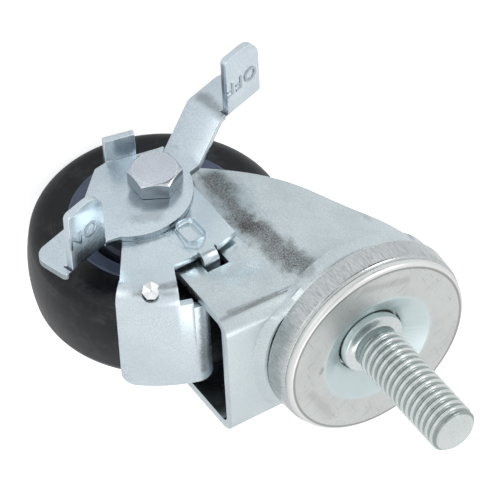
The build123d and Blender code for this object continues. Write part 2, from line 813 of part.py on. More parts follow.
# ---------------------------------------------------------------- brake cam
# An eccentric disc riveted behind the lever, turning in the slot of the shoe.
cam_angle = radians(shoe_angle - 90 + lever_swing / 2)
with BuildPart() as brake_cam:
    with BuildSketch(axle_plane(spacer_face + slide_gap)):
        with Locations((cam_offset * cos(cam_angle), cam_offset * sin(cam_angle))):
            Circle(cam_radius)
        Circle(bolt_r + bore_gap, mode=Mode.SUBTRACT)
    extrude(amount=lever_inside - shoe_inside)
save(brake_cam.part, "brake_cam")
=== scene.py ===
# %% [markdown]
# A swivel castor with a threaded stem and a side brake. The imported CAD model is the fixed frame:
# it has every piece at its real size and place. Blender gives each piece its finish, rounds the
# edges of the pressed sheet, and models what is too fine for the CAD, such as the thread.

# %% Load the frame
import json
from math import atan2, cos, pi, radians, sin

import bpy
from mathutils import Matrix, Vector


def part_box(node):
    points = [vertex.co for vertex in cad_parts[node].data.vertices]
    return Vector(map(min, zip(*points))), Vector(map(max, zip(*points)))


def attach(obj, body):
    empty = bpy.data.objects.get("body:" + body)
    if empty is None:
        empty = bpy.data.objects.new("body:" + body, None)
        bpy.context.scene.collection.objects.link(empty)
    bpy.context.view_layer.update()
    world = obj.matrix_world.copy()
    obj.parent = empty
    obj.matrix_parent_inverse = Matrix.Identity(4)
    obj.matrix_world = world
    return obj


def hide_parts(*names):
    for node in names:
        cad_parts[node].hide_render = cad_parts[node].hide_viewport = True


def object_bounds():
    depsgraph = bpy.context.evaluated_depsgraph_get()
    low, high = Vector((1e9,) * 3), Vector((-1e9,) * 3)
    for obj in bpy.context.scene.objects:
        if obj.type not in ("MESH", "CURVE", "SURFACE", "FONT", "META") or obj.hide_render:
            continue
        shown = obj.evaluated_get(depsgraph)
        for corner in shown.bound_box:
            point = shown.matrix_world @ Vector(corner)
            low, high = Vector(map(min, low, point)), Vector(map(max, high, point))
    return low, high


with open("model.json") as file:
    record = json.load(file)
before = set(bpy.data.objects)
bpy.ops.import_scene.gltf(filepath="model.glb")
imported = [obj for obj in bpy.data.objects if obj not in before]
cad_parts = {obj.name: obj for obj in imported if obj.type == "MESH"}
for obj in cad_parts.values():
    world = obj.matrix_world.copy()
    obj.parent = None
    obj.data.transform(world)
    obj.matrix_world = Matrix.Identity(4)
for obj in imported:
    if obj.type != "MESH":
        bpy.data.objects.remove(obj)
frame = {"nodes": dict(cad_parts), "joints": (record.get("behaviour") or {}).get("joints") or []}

MM = 0.001
cad_low, cad_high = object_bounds()
nodes = frame["nodes"]
joints = {joint["name"]: joint for joint in frame["joints"]}
axle = Vector(joints["wheel_spin"]["pos_m"])
print("CAD box", [round(value / MM, 1) for value in (*cad_low, *cad_high)])

# %% [markdown]
# The camera comes first, because every choice of finish is judged through it. It is a long lens
# far from the castor, so that lines that are parallel on the castor stay nearly parallel. Its
# directions are given as the way that it looks and the way that is up in the picture. The castor
# is seen from above its stem, with the stem running down to the right.

# %% Camera
camera = bpy.data.objects.new("camera", bpy.data.cameras.new("camera"))
bpy.context.scene.collection.objects.link(camera)
camera.data.sensor_width = 36.0
camera.data.lens = 350.9
camera.data.clip_start, camera.data.clip_end = 0.1, 20
look = Vector((-0.35099, 0.71286, -0.60715)).normalized()
picture_up = Vector((-0.40451, -0.70021, -0.58828))
picture_right = look.cross(picture_up).normalized()
picture_up = picture_right.cross(look).normalized()
camera.matrix_world = Matrix.Translation((0.43584, -0.86916, 0.69417)) @ Matrix(
    (picture_right, picture_up, -look)
).transposed().to_4x4()
bpy.context.scene.camera = camera

# %% [markdown]
# Zinc-plated steel shows mostly what is around it, so the room matters as much as the metal.
# A white world is shown to the camera and to reflections, while the light on the castor comes
# from a few soft lamps. Large lamps give the long soft highlights of a photo studio, and the
# gaps between them give the darker bands that make bent sheet look bent.

# %% Room and lamps
world = bpy.data.worlds.new("studio")
bpy.context.scene.world = world
world.use_nodes = True
world_nodes, world_links = world.node_tree.nodes, world.node_tree.links
world_nodes.clear()
world_out = world_nodes.new("ShaderNodeOutputWorld")
seen = world_nodes.new("ShaderNodeBackground")
seen.inputs["Color"].default_value = (1, 1, 1, 1)
lit = world_nodes.new("ShaderNodeBackground")
lit.inputs["Color"].default_value = (0.93, 0.97, 1.0, 1)
lit.inputs["Strength"].default_value = 0.55
ray = world_nodes.new("ShaderNodeLightPath")
camera_or_glass = world_nodes.new("ShaderNodeMath")
camera_or_glass.operation = "MAXIMUM"
camera_or_gloss = world_nodes.new("ShaderNodeMath")
camera_or_gloss.operation = "MAXIMUM"
choose = world_nodes.new("ShaderNodeMixShader")
world_links.new(ray.outputs["Is Camera Ray"], camera_or_glass.inputs[0])
world_links.new(ray.outputs["Is Transmission Ray"], camera_or_glass.inputs[1])
world_links.new(camera_or_glass.outputs[0], camera_or_gloss.inputs[0])
world_links.new(ray.outputs["Is Glossy Ray"], camera_or_gloss.inputs[1])
world_links.new(camera_or_gloss.outputs[0], choose.inputs["Fac"])
world_links.new(lit.outputs[0], choose.inputs[1])
world_links.new(seen.outputs[0], choose.inputs[2])
world_links.new(choose.outputs[0], world_out.inputs["Surface"])

scene_settings = bpy.context.scene.view_settings
scene_settings.view_transform = "Standard"


def soft_lamp(name, place, size, watts, aim=(0, 0, -0.03)):
    """A square lamp that faces the castor."""
    lamp = bpy.data.objects.new(name, bpy.data.lights.new(name, "AREA"))
    lamp.data.size = size
    lamp.data.energy = watts
    lamp.location = place
    lamp.rotation_euler = (Vector(aim) - Vector(place)).to_track_quat("-Z", "Y").to_euler()
    bpy.context.scene.collection.objects.link(lamp)
    return lamp


soft_lamp("key_lamp", (-0.55, -0.75, 0.55), 0.38, 1.9)
soft_lamp("fill_lamp", (0.75, -0.55, 0.15), 0.6, 0.5)
soft_lamp("top_lamp", (0.15, 0.35, 0.9), 0.5, 0.9)

# %% [markdown]
# The floor is a wide disc just under the wheel. It is white where the camera or a reflection
# sees it, and it still takes the castor's shadow, because only a part of its white is a glow.

# %% Floor
bpy.ops.object.select_all(action="DESELECT")
bpy.ops.mesh.primitive_circle_add(
    vertices=96, radius=6, fill_type="NGON", location=(0, 0, cad_low.z - 0.0005)
)
floor = bpy.context.object
floor.name = "studio_floor"
floor_paint = bpy.data.materials.new("studio_floor")
floor_paint.use_nodes = True
floor_shader = floor_paint.node_tree.nodes["Principled BSDF"]
floor_shader.inputs["Base Color"].default_value = (0.9, 0.9, 0.9, 1)
floor_shader.inputs["Roughness"].default_value = 0.9
floor_links = floor_paint.node_tree.links
floor_ray = floor_paint.node_tree.nodes.new("ShaderNodeLightPath")
glow_parts = []
for ray_kind, strength in (("Is Camera Ray", 0.8), ("Is Glossy Ray", 0.3)):
    glow_part = floor_paint.node_tree.nodes.new("ShaderNodeMath")
    glow_part.operation = "MULTIPLY"
    glow_part.inputs[1].default_value = strength
    floor_links.new(floor_ray.outputs[ray_kind], glow_part.inputs[0])
    glow_parts.append(glow_part.outputs[0])
glow_level = floor_paint.node_tree.nodes.new("ShaderNodeMath")
glow_level.operation = "MAXIMUM"
for slot_number, glow_part in enumerate(glow_parts):
    floor_links.new(glow_part, glow_level.inputs[slot_number])
floor_shader.inputs["Emission Color"].default_value = (1, 1, 1, 1)
floor_links.new(glow_level.outputs[0], floor_shader.inputs["Emission Strength"])
floor.data.materials.append(floor_paint)

# %% [markdown]
# White all round would leave bent metal flat, so a studio hangs dark cards just outside the
# picture. One lies low in front, and draws the dark line along each outer bend. The other stands
# for the dark side of the room, behind the camera.


# %% Dark cards
def dark_card(name, place, width, height):
    """An upright dark card that faces the castor."""
    bpy.ops.object.select_all(action="DESELECT")
    bpy.ops.mesh.primitive_plane_add(size=1, location=place)
    card = bpy.context.object
    card.name = name
    card.scale = (width, height, 1)
    card.rotation_euler = (-Vector(place)).to_track_quat("Z", "Y").to_euler()
    card.data.materials.append(card_paint)


card_paint = bpy.data.materials.new("card_black")
card_paint.use_nodes = True
card_shader = card_paint.node_tree.nodes["Principled BSDF"]
card_shader.inputs["Base Color"].default_value = (0.02, 0.02, 0.025, 1)
card_shader.inputs["Roughness"].default_value = 0.9
dark_card("front_card", (-0.35, -1.05, 0.10), 1.1, 0.30)
dark_card("camera_card", (0.53, -1.10, 0.92), 0.45, 0.45)

# %% [markdown]
# Two effects turn up on several finishes, so each is a node group. The first is the faint cloud
# and speckle of zinc plate: large soft patches, small grains, and a few dark pinholes. The second
# is a dark, gritty streak with a soft border. On the fork's leg it is the scuff that a press leaves
# where the sheet was drawn hard over the die; on the hood, along the crown bend, along the lever's
# OFF arm and along the shoe's outer bend it is painted shade. Both read Object coordinates, so
# they stay fixed to the metal.


# %% Node group: cloud and grain of the plate
def new_group(name, inputs, outputs):
    """A shader node group and its end nodes. Inputs are (name, kind), and outputs are floats."""
    group = bpy.data.node_groups.new(name, "ShaderNodeTree")
    for label, kind in inputs:
        group.interface.new_socket(label, in_out="INPUT", socket_type=f"NodeSocket{kind}")
    for label in outputs:
        group.interface.new_socket(label, in_out="OUTPUT", socket_type="NodeSocketFloat")
    return group, group.nodes.new("NodeGroupInput"), group.nodes.new("NodeGroupOutput")


def math_node(tree, operation, first, second, clamp=True):
    """A Math node fed by two sockets or numbers. Returns its result."""
    node = tree.nodes.new("ShaderNodeMath")
    node.operation = operation
    node.use_clamp = clamp
    for slot_number, value in enumerate((first, second)):
        if isinstance(value, (int, float)):
            node.inputs[slot_number].default_value = value
        else:
            tree.links.new(value, node.inputs[slot_number])
    return node.outputs[0]


def noise(tree, size, detail=3.0, roughness=0.6, stretch=(1, 1, 1), turn=(0, 0, 0)):
    """Noise whose lumps are about that many millimetres across, or longer along an axis."""
    place = tree.nodes.new("ShaderNodeTexCoord")
    mapping = tree.nodes.new("ShaderNodeMapping")
    mapping.vector_type = "TEXTURE"
    mapping.inputs["Rotation"].default_value = turn
    mapping.inputs["Scale"].default_value = [size * MM * way for way in stretch]
    texture = tree.nodes.new("ShaderNodeTexNoise")
    texture.inputs["Scale"].default_value = 1.0
    texture.inputs["Detail"].default_value = detail
    texture.inputs["Roughness"].default_value = roughness
    tree.links.new(place.outputs["Object"], mapping.inputs["Vector"])
    tree.links.new(mapping.outputs["Vector"], texture.inputs["Vector"])
    return texture.outputs[0]


def distance_from_axis(tree, centre, axis):
    """Distance in millimetres from the line through that point along an axis."""
    place = tree.nodes.new("ShaderNodeTexCoord")
    shift = tree.nodes.new("ShaderNodeVectorMath")
    shift.operation = "SUBTRACT"
    shift.inputs[1].default_value = centre
    flatten = tree.nodes.new("ShaderNodeVectorMath")
    flatten.operation = "MULTIPLY"
    flatten.inputs[1].default_value = [0 if number == axis else 1 / MM for number in range(3)]
    length = tree.nodes.new("ShaderNodeVectorMath")
    length.operation = "LENGTH"
    tree.links.new(place.outputs["Object"], shift.inputs[0])
    tree.links.new(shift.outputs["Vector"], flatten.inputs[0])
    tree.links.new(flatten.outputs["Vector"], length.inputs[0])
    return length.outputs["Value"]


def ring_noise(tree, radius, width, detail=2.0):
    """Noise that depends on a radius alone, so that it draws rings that wide, in millimetres."""
    texture = tree.nodes.new("ShaderNodeTexNoise")
    texture.noise_dimensions = "1D"
    texture.inputs["Scale"].default_value = 1 / width
    texture.inputs["Detail"].default_value = detail
    tree.links.new(radius, texture.inputs["W"])
    return texture.outputs[0]


def ramp(tree, value, low, high, out_low=0.0, out_high=1.0):
    """A value remapped smoothly from one range to another."""
    node = tree.nodes.new("ShaderNodeMapRange")
    node.interpolation_type = "SMOOTHSTEP"
    node.inputs["From Min"].default_value = low
    node.inputs["From Max"].default_value = high
    node.inputs["To Min"].default_value = out_low
    node.inputs["To Max"].default_value = out_high
    tree.links.new(value, node.inputs["Value"])
    return node.outputs["Result"]


plate_grain, _, grain_out = new_group("plate_grain", [], ["Cloud", "Grain", "Pits", "Scratches"])
cloud = ramp(plate_grain, noise(plate_grain, 14, 3), 0.35, 0.7)
grain = noise(plate_grain, 0.30, 2, 0.7)
pits = ramp(plate_grain, noise(plate_grain, 0.9, 4, 0.75), 0.70, 0.76)
scratches = math_node(
    plate_grain,
    "MAXIMUM",
    ramp(plate_grain, noise(plate_grain, 0.16, 1, 0.5, (40, 1, 40), (0, 0.9, 0.5)), 0.69, 0.74),
    ramp(plate_grain, noise(plate_grain, 0.16, 1, 0.5, (34, 1, 34), (0.7, 0.2, -1.0)), 0.70, 0.75),
)
for label, value in (("Cloud", cloud), ("Grain", grain), ("Pits", pits), ("Scratches", scratches)):
    plate_grain.links.new(value, grain_out.inputs[label])

# %% [markdown]
# The scuff-and-shade group takes two points and a width. It measures how far the surface is from
# the line between the points, so that the mark is a soft-edged streak, as wide at both ends, and
# breaks it up with fine noise. Its depth says how dark it is.


# %% Node group: scuff and painted shade
scuff_and_painted_shade, mark_in, mark_out = new_group(
    "scuff_and_painted_shade",
    [("Start", "Vector"), ("End", "Vector"), ("Width", "Float"), ("Depth", "Float")],
    ["Scuff"],
)
mark_place = scuff_and_painted_shade.nodes.new("ShaderNodeTexCoord")


def vector_node(tree, operation, first, second, result="Vector"):
    """A Vector Math node fed by two sockets. Returns its result."""
    node = tree.nodes.new("ShaderNodeVectorMath")
    node.operation = operation
    tree.links.new(first, node.inputs[0])
    if second is not None:
        tree.links.new(second, node.inputs[3 if operation == "SCALE" else 1])
    return node.outputs[result]


mark_start, mark_end = mark_in.outputs["Start"], mark_in.outputs["End"]
from_start = vector_node(scuff_and_painted_shade, "SUBTRACT", mark_place.outputs["Object"], mark_start)
whole = vector_node(scuff_and_painted_shade, "SUBTRACT", mark_end, mark_start)
reach = vector_node(scuff_and_painted_shade, "DOT_PRODUCT", from_start, whole, "Value")
length_squared = vector_node(scuff_and_painted_shade, "DOT_PRODUCT", whole, whole, "Value")
along_line = math_node(scuff_and_painted_shade, "DIVIDE", reach, length_squared)
nearest = vector_node(scuff_and_painted_shade, "SCALE", whole, along_line)
offset = vector_node(scuff_and_painted_shade, "SUBTRACT", from_start, nearest)
distance = vector_node(scuff_and_painted_shade, "LENGTH", offset, None, "Value")
in_widths = math_node(scuff_and_painted_shade, "DIVIDE", distance, mark_in.outputs["Width"], clamp=False)
ragged = ramp(scuff_and_painted_shade, noise(scuff_and_painted_shade, 3.5, 4), 0.3, 0.7, 0.0, 0.4)
patch = ramp(scuff_and_painted_shade, math_node(scuff_and_painted_shade, "ADD", in_widths, ragged, clamp=False), 1.15, 0.35)
grit = ramp(scuff_and_painted_shade, noise(scuff_and_painted_shade, 0.32, 3, 0.8), 0.38, 0.62, 0.45, 1.0)
gritty_patch = math_node(scuff_and_painted_shade, "MULTIPLY", patch, grit)
scuff_and_shade_mask = math_node(scuff_and_painted_shade, "MULTIPLY", gritty_patch, mark_in.outputs["Depth"])
scuff_and_painted_shade.links.new(scuff_and_shade_mask, mark_out.inputs["Scuff"])

# %% [markdown]
# The zinc finish: a metallic shader whose colour drifts between two blue-white greys, whose
# roughness follows the same cloud, and whose surface is very slightly uneven. Each piece passes
# its own colours, roughness, dark streaks and rings, and some are brushed along one axis. The dark
# streaks are scuffs and scratches on some pieces and painted shade on others, and some rings and
# some lighter or darker copies of a zinc are painted shade and painted highlight.


# %% Finish: zinc plate
def mix_colour(tree, share, first, second):
    """Two colours mixed by a value. Either colour may be a socket."""
    node = tree.nodes.new("ShaderNodeMix")
    node.data_type = "RGBA"
    tree.links.new(share, node.inputs["Factor"])
    for socket, colour in ((node.inputs[6], first), (node.inputs[7], second)):
        if isinstance(colour, tuple):
            socket.default_value = (*colour, 1)
        else:
            tree.links.new(colour, socket)
    return node.outputs[2]


def ring_mask(tree, radius, inner, outer, soft=0.5):
    """One between two radii in millimetres and nothing outside them."""
    return math_node(
        tree,
        "MULTIPLY",
        ramp(tree, radius, inner - soft, inner),
        ramp(tree, radius, outer, outer + soft, 1.0, 0.0),
    )


zinc_light, zinc_dark = (0.66, 0.735, 0.76), (0.53, 0.60, 0.63)
# The grey of the dark streaks on the fork, lever and shoe: die scuffs on the leg, painted shade along
# bends and on the hood, and darker streaks on the lever plate and across the shoe's band.
scuff_and_shade_grey = (0.085, 0.08, 0.078)
stem_centre, axis_z, axis_y = (0, 0, 0), 2, 1


def zinc(
    name,
    light=zinc_light,
    dark=zinc_dark,
    rough=0.24,
    dark_marks=(),
    brushed=None,
    uneven=0.14,
    rings=(),
    scratched=0.25,
    mark_colour=scuff_and_shade_grey,
):
    """Zinc-plated steel. Dark marks are (start, end, width, depth) in metres, with a depth of 0 to 1:
    scuffs, scratches, and streaks of painted shade. Rings about the stem are (inner, outer, soft,
    colour, share) in millimetres. Brushed names the axis along which the surface is brushed."""
    material = bpy.data.materials.new(name)
    material.use_nodes = True
    tree = material.node_tree
    shader = tree.nodes["Principled BSDF"]
    shader.inputs["Metallic"].default_value = 1.0
    plate = tree.nodes.new("ShaderNodeGroup")
    plate.node_tree = plate_grain
    pit_colour = tuple(value * 0.5 for value in dark)
    colour = mix_colour(tree, math_node(tree, "MULTIPLY", plate.outputs["Cloud"], 0.5), light, dark)
    for share in (
        ramp(tree, plate.outputs["Grain"], 0.30, 0.68, 0.0, 0.3),
        math_node(tree, "MULTIPLY", plate.outputs["Pits"], 0.7),
        math_node(tree, "MULTIPLY", plate.outputs["Scratches"], scratched),
    ):
        colour = mix_colour(tree, share, colour, pit_colour)
    roughness = ramp(tree, plate.outputs["Cloud"], 0, 1, rough, rough + 0.08)
    height = plate.outputs["Grain"]
    if brushed is not None:
        stretch = [1, 1, 1]
        stretch[brushed] = 60
        lines = noise(tree, 0.14, 2, 0.5, stretch)
        line_height = math_node(tree, "MULTIPLY", lines, 0.8)
        height = math_node(tree, "ADD", line_height, math_node(tree, "MULTIPLY", height, 0.2))
        colour = mix_colour(tree, ramp(tree, lines, 0.42, 0.68, 0.0, 0.6), colour, pit_colour)
    if rings:
        radius = distance_from_axis(tree, stem_centre, axis_z)
        for inner, outer, soft, ring_colour, share in rings:
            mask = math_node(tree, "MULTIPLY", ring_mask(tree, radius, inner, outer, soft), share)
            colour = mix_colour(tree, mask, colour, ring_colour)
    # Each dark mark pulls the colour towards its mark colour: a scuff, a scratch or a streak of painted
    # shade, as each piece lists.
    for start, end, width, depth in dark_marks:
        dark_mark = tree.nodes.new("ShaderNodeGroup")
        dark_mark.node_tree = scuff_and_painted_shade
        dark_mark.inputs["Start"].default_value = start
        dark_mark.inputs["End"].default_value = end
        dark_mark.inputs["Width"].default_value = width
        dark_mark.inputs["Depth"].default_value = depth
        colour = mix_colour(tree, dark_mark.outputs["Scuff"], colour, mark_colour)
        dulled = math_node(tree, "MULTIPLY", dark_mark.outputs["Scuff"], 0.25)
        roughness = math_node(tree, "ADD", roughness, dulled)
    tree.links.new(colour, shader.inputs["Base Color"])
    tree.links.new(roughness, shader.inputs["Roughness"])
    bump = tree.nodes.new("ShaderNodeBump")
    bump.inputs["Strength"].default_value = uneven
    bump.inputs["Distance"].default_value = 0.1 * MM
    tree.links.new(height, bump.inputs["Height"])
    tree.links.new(bump.outputs["Normal"], shader.inputs["Normal"])
    return material


# %% Where the dark streaks are: scuffs, painted shade and marks
def mark_line(start, end, width, depth):
    """A dark streak given in millimetres, turned into metres."""
    return tuple(value * MM for value in start), tuple(value * MM for value in end), width * MM, depth


leg_y, lever_y = -19.5, -24.7
fork_scuffs_and_shade = [
    # Die scuffs down the leg, beside its bend.
    mark_line((11.5, leg_y, -55), (13.5, leg_y, -38), 5.6, 0.92),
    mark_line((13, leg_y, -36), (9.5, leg_y, -14), 6.4, 0.92),
    # Painted reflection: a dark streak along the hood, for the darker floor that it reflects.
    mark_line((-16, -14, -30), (-18, -18, -12), 2.2, 0.6),
    # Painted shade: a thin dark line on the leg along the crown bend.
    mark_line((33, leg_y, -14.5), (20, leg_y, -13.5), 1.2, 0.5),
]
lever_dark_streaks = [
    # Painted shade along the OFF arm's bend.
    mark_line((5.6, -33.6, -69), (4.6, -33.6, -61), 2.6, 0.6),
    # A faint darker streak on the lever plate, near the axle.
    mark_line((37, lever_y, -50), (33, lever_y, -48), 3.2, 0.35),
]
shoe_dark_streaks = [
    # A darker line across the shoe's band.
    mark_line((36.0, -16, -22.4), (36.5, 6, -22.5), 1.3, 0.7),
    # Painted shade along the shoe's outer bend, through the dart.
    mark_line((53, -22, -31.5), (39, -22, -27.5), 1.5, 0.6),
]
disc_marks = [
    mark_line((-9, -18.5, 0), (3, -22, 0), 1.8, 0.35),
    mark_line((19.5, 5, 0), (14, 16, 0), 2.2, 0.3),
    mark_line((16, -2, 0), (16.5, -1, 0), 0.9, 0.6),
]

# %% Finishes: the zinc of each piece
finishes = {
    "fork": zinc("zinc_fork", dark_marks=fork_scuffs_and_shade),
    "lever": zinc("zinc_lever", (0.70, 0.79, 0.85), (0.58, 0.66, 0.72), dark_marks=lever_dark_streaks),
    # The words take a darker copy of the lever's zinc: painted shade for the dark outlines of the pressed
    # letters.
    "word": zinc("zinc_word_shade", (0.50, 0.56, 0.60), (0.38, 0.43, 0.47)),
    "shoe": zinc("zinc_shoe", (0.70, 0.79, 0.84), (0.58, 0.66, 0.71), 0.27, shoe_dark_streaks),
    "sheared": zinc("zinc_sheared", (0.50, 0.57, 0.62), (0.28, 0.33, 0.37), brushed=axis_y),
    # The hex sides of the bolt head take a darker copy of the bolt's zinc: painted shade.
    "bolt_shaded_side": zinc("zinc_bolt_shaded_side", (0.40, 0.44, 0.48), (0.26, 0.30, 0.33), 0.2),
    # The rounded edges take a light copy of the zinc: a painted highlight along every edge.
    "edge": zinc("zinc_edge_highlight", (0.90, 0.94, 0.96), (0.78, 0.83, 0.86), 0.18, uneven=0.05),
    # The dart takes a very light copy of the shoe's zinc: a painted highlight on its facets.
    "dart": zinc("zinc_dart_highlight", (0.92, 0.94, 0.95), (0.80, 0.83, 0.85), 0.16, uneven=0.05),
    "bolt": zinc("zinc_bolt", (0.70, 0.73, 0.80), (0.55, 0.58, 0.64), 0.17),
    "disc": zinc(
        "zinc_disc",
        light=(0.66, 0.685, 0.68),
        dark=(0.53, 0.55, 0.54),
        rough=0.34,
        uneven=0.18,
        scratched=0.9,
        dark_marks=disc_marks,
        mark_colour=(0.24, 0.235, 0.21),
        rings=[
            (8.0, 15.0, 1.5, (0.58, 0.68, 0.70), 0.8),
            # The lighter ring over the rounded rim is a painted highlight.
            (24.8, 30.0, 0.3, (0.78, 0.79, 0.78), 0.8),
            (24.1, 24.5, 0.2, (0.25, 0.25, 0.24), 0.7),
        ],
    ),
    "cup": zinc("zinc_cup", (0.66, 0.69, 0.69), (0.52, 0.55, 0.56), 0.22, brushed=axis_z),
    "thread": zinc(
        "zinc_thread",
        light=(0.72, 0.77, 0.76),
        dark=(0.56, 0.62, 0.62),
        rough=0.16,
        # The darker ring at the roots of the thread is painted shade.
        rings=[(5.5, 5.85, 0.25, (0.26, 0.30, 0.30), 0.8)],
    ),
    "hidden": zinc("zinc_hidden", (0.56, 0.61, 0.64), (0.46, 0.51, 0.54), 0.35),
}
print("zinc finishes", len(finishes))

# %% [markdown]
# Rubber is nearly black but never evenly so: it has a faint dry bloom, fine rings from its mould,
# and where the tread rolls it is rubbed grey. The plastics are simpler: a blue-grey moulding with
# a slight orange-peel.


# %% Finishes: rubber, plastic and polished balls
def moulded(name, colour, rubbed, rough, lump, rub_low, rub_high, rings=()):
    """A moulded, non-metallic finish with a rubbed bloom, and rings about the axle."""
    material = bpy.data.materials.new(name)
    material.use_nodes = True
    tree = material.node_tree
    shader = tree.nodes["Principled BSDF"]
    shader.inputs["Specular IOR Level"].default_value = 0.3
    bloom = ramp(tree, noise(tree, lump, 5, 0.65), rub_low, rub_high)
    radius = distance_from_axis(tree, axle, axis_y)
    streaks = ramp(tree, ring_noise(tree, radius, 0.5), 0.42, 0.66)
    streak_share = math_node(tree, "ADD", math_node(tree, "MULTIPLY", streaks, 0.6), 0.4)
    bloom = math_node(tree, "MULTIPLY", bloom, streak_share)
    paint = mix_colour(tree, bloom, colour, rubbed)
    for inner, outer, ring_colour in rings:
        paint = mix_colour(tree, ring_mask(tree, radius, inner, outer), paint, ring_colour)
    tree.links.new(paint, shader.inputs["Base Color"])
    tree.links.new(ramp(tree, bloom, 0, 1, rough, rough + 0.15), shader.inputs["Roughness"])
    bump = tree.nodes.new("ShaderNodeBump")
    bump.inputs["Strength"].default_value = 0.12
    bump.inputs["Distance"].default_value = 0.1 * MM
    tree.links.new(noise(tree, 0.5, 3), bump.inputs["Height"])
    tree.links.new(bump.outputs["Normal"], shader.inputs["Normal"])
    return material


# The dark ring on the hub is a painted shadow of the gap round its middle.
hub_shadow_ring = [(14.0, 17.0, (0.05, 0.06, 0.09))]
for label, made in (
    ("rubber", moulded("tyre_rubber", (0.007, 0.008, 0.011), (0.055, 0.056, 0.06), 0.36, 5, 0.45, 0.72)),
    ("hub", moulded("hub_plastic", (0.12, 0.145, 0.22), (0.17, 0.2, 0.28), 0.38, 6, 0.4, 0.7, hub_shadow_ring)),
    ("bush", moulded("bush_plastic", (0.13, 0.12, 0.17), (0.17, 0.16, 0.21), 0.42, 5, 0.4, 0.7)),
    ("insert", moulded("insert_plastic", (0.72, 0.72, 0.68), (0.64, 0.64, 0.60), 0.45, 3, 0.4, 0.7)),
    ("ball", zinc("ball_steel", (0.60, 0.61, 0.62), (0.52, 0.53, 0.54), 0.08, uneven=0.01)),
):
    finishes[label] = made

# %% [markdown]
# Pressed sheet and turned parts never have knife edges: a small round catches the light all along
# each edge, and that thin bright line is most of what makes sheet metal look real. So each
# visible metal piece is a copy of its CAD node. The copy's loose triangles are merged, its flat
# faces are dissolved back to single faces, and a Bevel modifier rounds what is still sharp. The
# copy then stands for the node, which MuJoCo keeps.


# %% Dressed copies of the CAD nodes
def deselect():
    bpy.ops.object.select_all(action="DESELECT")


def dressed(node, body, finish, round_mm=0.22, sharp=32, side_faces=None):
    """A copy of a CAD node with rounded edges, which take a light finish as a painted highlight. It
    replaces the node. Side faces are (finish, least y, most y): faces that stand square to the axle
    between those two take that finish: the sheared rim of the lever, and the hex sides of the bolt
    head, whose darker finish is painted shade."""
    deselect()
    piece = bpy.data.objects.new(f"{node}_dressed", nodes[node].data.copy())
    bpy.context.scene.collection.objects.link(piece)
    piece.data.materials.clear()
    piece.data.materials.append(finish)
    piece.data.materials.append(finishes["edge"])
    bpy.context.view_layer.objects.active = piece
    piece.select_set(True)
    bpy.ops.object.mode_set(mode="EDIT")
    bpy.ops.mesh.select_all(action="SELECT")
    bpy.ops.mesh.remove_doubles(threshold=0.002 * MM)
    bpy.ops.mesh.dissolve_limited(angle_limit=radians(0.5))
    bpy.ops.object.mode_set(mode="OBJECT")
    # The rounded faces take the light edge finish: a painted highlight along every edge.
    if round_mm:
        rounding = piece.modifiers.new("rounded_edges", "BEVEL")
        rounding.width = round_mm * MM
        rounding.segments = 2
        rounding.limit_method = "ANGLE"
        rounding.angle_limit = radians(sharp)
        rounding.miter_outer = "MITER_ARC"
        rounding.use_clamp_overlap = True
        rounding.material = 1
        bpy.ops.object.modifier_apply(modifier=rounding.name)
    if side_faces:
        side_finish, least_y, most_y = side_faces
        piece.data.materials.append(side_finish)
        for face in piece.data.polygons:
            if abs(face.normal.y) < 0.2 and least_y * MM < face.center.y < most_y * MM:
                face.material_index = 2
    bpy.ops.object.shade_smooth_by_angle(angle=radians(sharp))
    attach(piece, body)
    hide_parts(node)
    print(node, len(piece.data.polygons), "faces")
    return piece


lever_rim = (finishes["sheared"], -24.6, -22.2)
# The bolt head's hex sides take the darker finish: painted shade.
bolt_shaded_sides = (finishes["bolt_shaded_side"], -40, -24.8)
dressed("fork", "fork", finishes["fork"])
dressed("brake_lever", "lever", finishes["lever"], side_faces=lever_rim)
dressed("brake_shoe", "shoe", finishes["shoe"])
dressed("axle_bolt", "fork", finishes["bolt"], 0.15, 20, bolt_shaded_sides)
dressed("axle_nut", "fork", finishes["bolt"], 0.15)
dressed("mounting_disc", "stem", finishes["disc"], 0.1)
dressed("upper_race_cup", "stem", finishes["cup"], 0.15)

# %% [markdown]
# The stem's thread is rolled: its crests and roots are rounded, and it winds up the stem as one
# ridge. The CAD has a plain cylinder over the crests. Here the whole stem is one line spun round:
# riveted head, shank, collar, undercut, and then many close rings where the thread will be. Each
# vertex of those rings is then moved in or out by where it stands on the helix, so that the mesh
# stays closed at both ends, and the last turns run out into the chamfer and the undercut.

# %% Stem sizes, read from the frame
stem_low, stem_high = (Vector(corner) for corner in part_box("threaded_stem"))
crest_r = 6.35 * MM
root_r = crest_r - 0.72 * MM
pitch = 25.4 / 12 * MM
rings_per_pitch = 14
thread_start = 0.6 * MM
thread_end = stem_high.z
chamfer = 1.1 * MM
neck_r = 5.7 * MM
collar_r, collar_top = 8.6 * MM, -1.4 * MM
shank_r, shank_top = 6.0 * MM, -5.4 * MM
print("thread turns", round((thread_end - thread_start) / pitch, 1))


# %% The stem as one line, spun round
def turned_piece(name, points):
    """A closed piece spun about the stem from points that start and end on its axis."""
    deselect()
    mesh = bpy.data.meshes.new(name)
    mesh.from_pydata(points, [(number, number + 1) for number in range(len(points) - 1)], ())
    piece = bpy.data.objects.new(name, mesh)
    bpy.context.scene.collection.objects.link(piece)
    bpy.context.view_layer.objects.active = piece
    piece.select_set(True)
    bpy.ops.object.mode_set(mode="EDIT")
    bpy.ops.mesh.select_all(action="SELECT")
    bpy.ops.mesh.spin(steps=72, angle=2 * pi, center=stem_centre, axis=(0, 0, 1))
    bpy.ops.mesh.select_all(action="SELECT")
    bpy.ops.mesh.remove_doubles(threshold=0.002 * MM)
    bpy.ops.mesh.normals_make_consistent(inside=False)
    bpy.ops.object.mode_set(mode="OBJECT")
    bpy.ops.object.shade_smooth_by_angle(angle=radians(40))
    return piece


